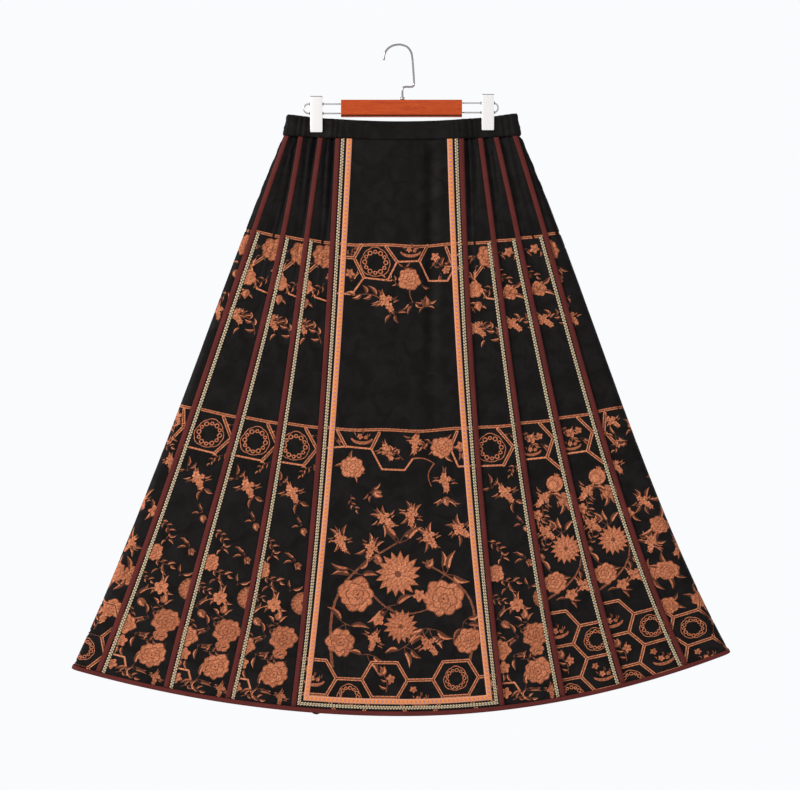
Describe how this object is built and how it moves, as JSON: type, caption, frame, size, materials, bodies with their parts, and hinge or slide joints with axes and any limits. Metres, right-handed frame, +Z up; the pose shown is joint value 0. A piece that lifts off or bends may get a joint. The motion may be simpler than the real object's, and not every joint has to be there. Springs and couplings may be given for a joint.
{
  "type": "long skirt on a clip hanger",
  "caption": "Long flared skirt of many gores with a framed front panel, trimmed seams and an elastic waist, held by a clip hanger.",
  "frame": {"origin": "the inner crown of the hanger's hook, where a rail carries it", "axes": "+Z up, front of the skirt faces -Y, +X to the right as seen from the front"},
  "size_m": [0.9884, 0.0566, 1.009],
  "materials": {
    "black_damask": "soft black damask with a low sheen, printed in copper and brown",
    "waistband_cloth": "plain black weave",
    "brown_tape": "red-brown twill tape",
    "woven_braid": "narrow braid of cream and black threads",
    "dotted_ribbon": "orange woven ribbon with peach edges and small blue dots",
    "hanger_wood": "varnished orange-brown wood",
    "hanger_wire": "bright plated wire",
    "clip_steel": "satin plated steel"
  },
  "bodies": {
    "root": {"front_panel": "black_damask", "front_gore_left_1": "black_damask", "front_gore_left_2": "black_damask", "front_gore_left_3": "black_damask", "front_gore_right_1": "black_damask", "front_gore_right_2": "black_damask", "front_gore_right_3": "black_damask", "back_panel": "black_damask", "back_gore_left_1": "black_damask", "back_gore_left_2": "black_damask", "back_gore_left_3": "black_damask", "back_gore_right_1": "black_damask", "back_gore_right_2": "black_damask", "back_gore_right_3": "black_damask", "side_gore_left": "black_damask", "side_gore_right": "black_damask", "waistband_front": "waistband_cloth", "waistband_elastic": "waistband_cloth", "tape_front_left_1": "brown_tape", "tape_front_left_2": "brown_tape", "tape_front_left_3": "brown_tape", "tape_front_left_4": "brown_tape", "braid_front_left_2": "woven_braid", "braid_front_left_3": "woven_braid", "braid_front_left_4": "woven_braid", "tape_front_right_1": "brown_tape", "tape_front_right_2": "brown_tape", "tape_front_right_3": "brown_tape", "tape_front_right_4": "brown_tape", "braid_front_right_2": "woven_braid", "braid_front_right_3": "woven_braid", "braid_front_right_4": "woven_braid", "frame_braid_front": "woven_braid", "frame_ribbon_front": "dotted_ribbon", "hem_binding_front": "brown_tape", "tape_back_left_1": "brown_tape", "tape_back_left_2": "brown_tape", "tape_back_left_3": "brown_tape", "tape_back_left_4": "brown_tape", "braid_back_left_2": "woven_braid", "braid_back_left_3": "woven_braid", "braid_back_left_4": "woven_braid", "tape_back_right_1": "brown_tape", "tape_back_right_2": "brown_tape", "tape_back_right_3": "brown_tape", "tape_back_right_4": "brown_tape", "braid_back_right_2": "woven_braid", "braid_back_right_3": "woven_braid", "braid_back_right_4": "woven_braid", "frame_braid_back": "woven_braid", "frame_ribbon_back": "dotted_ribbon", "hem_binding_back": "brown_tape", "hanger_bar": "hanger_wood", "hanger_hook": "hanger_wire", "hanger_ferrule": "hanger_wire", "hanger_rod_left": "hanger_wire", "hanger_rod_right": "hanger_wire", "hanger_clip_left": "clip_steel", "hanger_clip_right": "clip_steel"}
  },
  "joints": []
}
